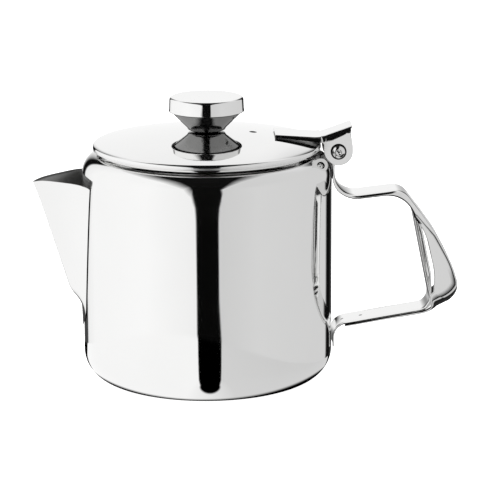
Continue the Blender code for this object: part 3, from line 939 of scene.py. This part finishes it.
def make_knob_top():
    """Flat cap of the knob with its lower edge rolled in."""
    inside_r = KNOB_R - KNOB_SHEET
    inside_z = KNOB_TOP - KNOB_SHEET
    profile = [(KNOB_R * i / 10, KNOB_TOP) for i in range(9)]
    profile += arc_points((KNOB_R - KNOB_EDGE_R, KNOB_TOP - KNOB_EDGE_R), KNOB_EDGE_R, 90, 0)
    profile += [(KNOB_R + 0.1, KNOB_SIDE_Z + 0.9)]
    profile += arc_points((KNOB_R - 0.2, KNOB_SIDE_Z + 0.4), KNOB_ROLL_R, 0, -120)
    profile += [(inside_r, KNOB_SIDE_Z + 0.5), (inside_r, inside_z - 0.6), (inside_r - 0.6, inside_z)]
    profile += [(0.0, inside_z)]
    bm = lathe(profile, SMALL_TURN_STEPS, closed=False)
    # painted shade: the underside of the rolled edge is black
    paint(bm, "seam", lambda p: float(p.z < KNOB_SIDE_Z + 0.2))
    return make_object("knob_top", bm, steel("knob_steel"))


def make_knob_stem():
    """Cone under the knob's cap, down to its floor on the lid."""
    floor_top = KNOB_FLOOR_Z + KNOB_SHEET
    lip_r = KNOB_R - KNOB_SHEET - GAP
    lip_z = KNOB_SIDE_Z + 0.3
    profile = [(SCREW_HOLE_R, floor_top), (SCREW_HOLE_R, KNOB_FLOOR_Z), (KNOB_NECK_R, KNOB_FLOOR_Z)]
    profile += [(KNOB_FOOT_R - 0.4, KNOB_FLOOR_Z + 0.4), (KNOB_FOOT_R, KNOB_FOOT_Z)]
    profile += [(lip_r - 0.1, lip_z - 0.9), (lip_r, lip_z), (lip_r, lip_z + KNOB_SHEET)]
    profile += [(lip_r - 1.0, lip_z + KNOB_SHEET), (KNOB_NECK_R, floor_top)]
    stem_steel = steel("knob_stem_steel", 0.26, (0.1, 0.16))
    return make_object("knob_stem", lathe(profile, SMALL_TURN_STEPS, closed=True), stem_steel)


def make_knob_fixing():
    """Round-headed screw from under the lid up into the knob."""
    head_top = dome_z(SCREW_HEAD_R) - LID_SHEET - GAP
    profile = [(0.0, head_top - 2.0), (1.8, head_top - 1.9), (3.0, head_top - 1.3)]
    profile += [(SCREW_HEAD_R, head_top - 0.5), (SCREW_HEAD_R, head_top), (SCREW_R, head_top)]
    profile += [(SCREW_R, SCREW_END_Z - 0.5), (SCREW_R - 0.5, SCREW_END_Z), (0.0, SCREW_END_Z)]
    bm = lathe(profile, SCREW_TURN_STEPS, closed=False)
    screw = make_object("knob_fixing", bm, steel("screw_steel", 0.7, (0.15, 0.25)))
    cut(screw, rods([((0.0, 0.0, head_top - 2.2), (0, 1, 0))], SCREW_SLOT_R, 9.0, 24))
    return screw


def make_hinge_leaf():
    """Leaf on the lid: its tongue, the raised thumb plate and the two ears bored for the rivet."""
    face = rounded_path(LEAF_TOP)
    free_edge = rounded_path(LEAF_LOWER_EDGE)
    face, free_edge = refined(face, free_edge)
    forms = []
    for place, edge in zip(face, free_edge):
        form = {"half_width": LEAF_HALF_WIDTH, "bend": LEAF_BEND, "curl": LEAF_CURL}
        if place.x < LEAF_TONGUE_X:
            form["bend"] = TONGUE_BEND * (edge - place).length
        forms.append(form)
    bm = channel(face, free_edge, LEAF_SHEET, forms)
    # painted shade: the tongue's side flanges are black, for the shadow under the tongue
    paint(bm, "seam", lambda p: float(p.x < LEAF_TONGUE_X and abs(p.y) > LEAF_HALF_WIDTH - SIDE_MARGIN))
    leaf = make_object("hinge_leaf", bm, steel("hinge_steel"), bevel=0.15)
    cut(leaf, rods([((PIN_X, 0.0, PIN_Z), (0, 1, 0))], PIN_BORE_R, 30.0, 64), use_self=True)
    leaf.data.validate()
    return leaf


def make_hinge_rivet():
    """Rivet through the ears with the same crowned head at each end."""
    head_y = LEAF_HALF_WIDTH + GAP
    half = [(PIN_R, head_y), (PIN_HEAD_R - 0.1, head_y)]
    half += [(r, head_y + rise) for r, rise in RIVET_CROWN]
    profile = [(r, -z) for r, z in reversed(half)] + half
    bm = lathe(profile, RIVET_TURN_STEPS, closed=False)
    # painted shade: black round the outside of the crown and in the dimple at its middle
    paint(bm, "seam", lambda p: float(not RIVET_DIMPLE_R < math.hypot(p.x, p.y) < RIVET_RING_R))
    turn = Matrix.Rotation(math.pi / 2, 4, "X")
    bmesh.ops.transform(bm, matrix=Matrix.Translation((PIN_X, 0.0, PIN_Z)) @ turn, verts=bm.verts)
    return make_object("hinge_rivet", bm, steel("rivet_steel", 0.8))


# ---------------------------------------------------------------- studio

def make_floor():
    """Pale floor that the steel doesn't mirror."""
    bm = bmesh.new()
    bmesh.ops.create_grid(bm, x_segments=8, y_segments=8, size=FLOOR_HALF_SIZE)
    mesh = bpy.data.meshes.new("floor")
    bm.to_mesh(mesh)
    bm.free()
    floor = bpy.data.objects.new("floor", mesh)
    bpy.context.scene.collection.objects.link(floor)
    material = bpy.data.materials.new("pale_floor")
    material.use_nodes = True
    shader = material.node_tree.nodes["Principled BSDF"]
    shader.inputs["Base Color"].default_value = (0.9, 0.9, 0.9, 1.0)
    shader.inputs["Roughness"].default_value = 0.9
    shader.inputs["Emission Color"].default_value = (1.0, 1.0, 1.0, 1.0)
    shader.inputs["Emission Strength"].default_value = 1.0
    mesh.materials.append(material)
    floor.visible_glossy = False


def make_camera():
    """Camera about 1.1 m away, slightly to the spout's side, and rolled by CAMERA_ROLL_DEG."""
    camera = bpy.data.objects.new("camera", bpy.data.cameras.new("camera"))
    bpy.context.scene.collection.objects.link(camera)
    camera.data.sensor_width = 36.0
    camera.data.lens = CAMERA_LENS
    camera.data.clip_end = 20.0
    camera.location = CAMERA_PLACE
    aim = Vector(CAMERA_AIM) - camera.location
    roll = Matrix.Rotation(math.radians(CAMERA_ROLL_DEG), 3, "Z")
    turn = aim.to_track_quat("-Z", "Y").to_matrix() @ roll
    camera.rotation_euler = turn.to_euler()
    bpy.context.scene.camera = camera


def grey_ramp(tree, share, stops):
    """Grey by a share from 0 to 1: stops are (share, grey)."""
    made = node(tree, "ShaderNodeValToRGB")
    tree.links.new(share, made.inputs["Fac"])
    elements = made.color_ramp.elements
    while len(elements) > 1:
        elements.remove(elements[-1])
    for i, (place, grey) in enumerate(stops):
        element = elements[0] if i == 0 else elements.new(place)
        element.position = place
        element.color = (grey, grey, grey, 1.0)
    return made.outputs["Color"]


def studio_only(obj):
    """Keep a piece of studio equipment out of the picture itself."""
    obj.visible_camera = False
    obj.visible_diffuse = False
    obj.visible_shadow = False


def make_flag():
    """Black card before the pot and over it, with soft edges: it gives polished metal its dark line."""
    bm = bmesh.new()
    cover = bm.verts.layers.float.new("cover")
    rows = []
    for y, z, left, right, left_soft, right_soft in FLAG_OUTLINE:
        row = []
        xs = (left - left_soft, left + left_soft, right - right_soft, right + right_soft)
        for x, value in zip(xs, (0.0, 1.0, 1.0, 0.0)):
            vert = bm.verts.new((x, y, z))
            vert[cover] = value
            row.append(vert)
        rows.append(row)
    for row, next_row in zip(rows, rows[1:]):
        for i in range(3):
            bm.faces.new((row[i], row[i + 1], next_row[i + 1], next_row[i]))
    material = bpy.data.materials.new("flag_black")
    material.use_nodes = True
    tree = material.node_tree
    shader = tree.nodes["Principled BSDF"]
    shader.inputs["Base Color"].default_value = (0.003, 0.003, 0.003, 1.0)
    shader.inputs["Roughness"].default_value = 1.0
    shader.inputs["Specular IOR Level"].default_value = 0.0
    tree.links.new(stored(tree, "cover"), shader.inputs["Alpha"])
    studio_only(make_object("flag_card", bm, material))


def distance(tree, x, y):
    """Distance from the origin of two coordinates."""
    square = calc(tree, "ADD", calc(tree, "MULTIPLY", x, x), calc(tree, "MULTIPLY", y, y))
    return calc(tree, "SQRT", square)


def slot_light(tree, x, y):
    """0 in the stand's slot, which runs towards the camera from its round end, 1 elsewhere."""
    slot_x, slot_y, slot_r = STAND_SLOT
    across = calc(tree, "SUBTRACT", x, slot_x * MM)
    behind = calc(tree, "MAXIMUM", calc(tree, "SUBTRACT", y, slot_y * MM), 0.0)
    before = calc(tree, "MAXIMUM", calc(tree, "SUBTRACT", slot_y * MM, y), 0.0)
    apart = distance(tree, across, calc(tree, "MULTIPLY", behind, SLOT_STRETCH))
    reach = calc(tree, "SUBTRACT", apart, calc(tree, "MULTIPLY", before, SLOT_FLARE))
    return step_up(tree, reach, (slot_r - SLOT_BLUR) * MM, (slot_r + SLOT_BLUR) * MM)


def shade_light(tree, x, y):
    """0 under the pot, 1 outside its elliptical shadow."""
    centre_x, half_length, half_width = STAND_SHADE
    shade_x = calc(tree, "DIVIDE", calc(tree, "SUBTRACT", x, centre_x * MM), half_length * MM)
    shade_y = calc(tree, "DIVIDE", y, half_width * MM)
    return step_up(tree, distance(tree, shade_x, shade_y), *SHADE_BLUR)


def wedge_light(tree, x, y, side, near, far):
    """0 in a wedge of painted shadow behind the pot on one side, between two slopes from the wall, 1
    elsewhere.
    """
    beyond = calc(tree, "SUBTRACT", calc(tree, "MULTIPLY", x, side), BODY_R * MM)
    inside = calc(tree, "SUBTRACT", calc(tree, "MULTIPLY", y, far), beyond)
    outside = calc(tree, "SUBTRACT", beyond, calc(tree, "MULTIPLY", y, near))
    wedge = calc(tree, "MULTIPLY", step_up(tree, inside, 0.0, MM), step_up(tree, outside, -MM, 0.0))
    wedge = calc(tree, "MULTIPLY", wedge, step_up(tree, y, WEDGE_START[0] * MM, WEDGE_START[1] * MM))
    return calc(tree, "SUBTRACT", 1.0, wedge)


def make_stand():
    """Light stand under the pot with a dark slot, the pot's painted shadow and two wedges of painted shadow
    behind it.
    """
    bm = bmesh.new()
    bmesh.ops.create_circle(bm, cap_ends=True, segments=96, radius=STAND_R)
    bmesh.ops.translate(bm, vec=(*STAND_CENTRE, -0.5), verts=bm.verts)
    material = bpy.data.materials.new("stand_light")
    material.use_nodes = True
    tree = material.node_tree
    parts = node(tree, "ShaderNodeSeparateXYZ")
    tree.links.new(node(tree, "ShaderNodeTexCoord").outputs["Object"], parts.inputs[0])
    x, y, _ = parts.outputs
    light = calc(tree, "MULTIPLY", slot_light(tree, x, y), shade_light(tree, x, y))
    for wedge in STAND_WEDGES:
        light = calc(tree, "MULTIPLY", light, wedge_light(tree, x, y, *wedge))
    light = calc(tree, "MULTIPLY", light, TENT_STRENGTH)
    left_x = STAND_CENTRE[0] - STAND_R
    share = calc(tree, "DIVIDE", calc(tree, "SUBTRACT", x, left_x * MM), 2 * STAND_R * MM)
    shader = tree.nodes["Principled BSDF"]
    shader.inputs["Base Color"].default_value = (0.0, 0.0, 0.0, 1.0)
    shader.inputs["Specular IOR Level"].default_value = 0.0
    tree.links.new(grey_ramp(tree, share, STAND_GREYS), shader.inputs["Emission Color"])
    tree.links.new(light, shader.inputs["Emission Strength"])
    studio_only(make_object("stand", bm, material))


def grey_ring(tree, azimuth, stops):
    """Grey by azimuth: stops are (degrees, grey)."""
    share = calc(tree, "ADD", calc(tree, "DIVIDE", azimuth, 360.0), 0.5)
    return grey_ramp(tree, share, [(degrees / 360.0 + 0.5, grey) for degrees, grey in stops])


def make_world():
    """Light tent round the pot: bright wall on the left, greyer wall on the right, dark gaps behind."""
    world = bpy.data.worlds.new("studio")
    world.use_nodes = True
    bpy.context.scene.world = world
    tree = world.node_tree
    direction = node(tree, "ShaderNodeTexCoord").outputs["Generated"]
    parts = node(tree, "ShaderNodeSeparateXYZ")
    tree.links.new(direction, parts.inputs[0])
    x, y, z = parts.outputs
    back = calc(tree, "MULTIPLY", y, -1.0)
    azimuth = calc(tree, "DEGREES", calc(tree, "ARCTAN2", x, back))
    elevation = calc(tree, "DEGREES", calc(tree, "ARCSINE", z))
    middle = grey_ring(tree, azimuth, TENT_MIDDLE)
    upper = grey_ring(tree, azimuth, TENT_UPPER)
    lower = grey_ring(tree, azimuth, TENT_LOWER)
    behind = step_up(tree, calc(tree, "ABSOLUTE", azimuth), *BACK_FROM)
    sunken = calc(tree, "SUBTRACT", elevation, calc(tree, "MULTIPLY", behind, BACK_RISE))
    grey = blend_grey(tree, step_up(tree, elevation, *TENT_EDGES[0]), middle, upper)
    grey = blend_grey(tree, step_up(tree, sunken, *TENT_EDGES[1]), grey, lower)
    background = tree.nodes["Background"]
    tree.links.new(grey, background.inputs["Color"])
    background.inputs["Strength"].default_value = TENT_STRENGTH


def show(piece, body, slot, *nodes):
    """Let a piece ride on a body and take the place of CAD nodes."""
    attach(piece, body)
    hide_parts(*nodes)


def main():
    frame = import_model()
    show(make_pot_shell(), "pot", "vessel", "pot_body")
    show(make_spout_shell(), "pot", "spout", "spout")
    show(make_grip_strap(), "pot", "handle", "handle_outer_strap")
    show(make_arm_strap(), "pot", "handle", "handle_inner_strap")
    show(make_lid_dome(), "lid", "lid", "lid")
    show(make_knob_top(), "lid", "knob", "knob_cap")
    show(make_knob_stem(), "lid", "knob", "knob_cone")
    show(make_knob_fixing(), "lid", "fastener", "knob_screw")
    show(make_hinge_leaf(), "lid", "hinge", "lid_hinge_leaf")
    show(make_hinge_rivet(), "lid", "rivet", "hinge_pin")
    nut = frame["nodes"]["knob_nut"]
    nut.material_slots[0].material = steel("nut_steel", 0.65, (0.2, 0.3))
    make_floor()
    make_flag()
    make_stand()
    make_camera()
    make_world()
    bpy.context.scene.view_settings.view_transform = "Standard"


main()
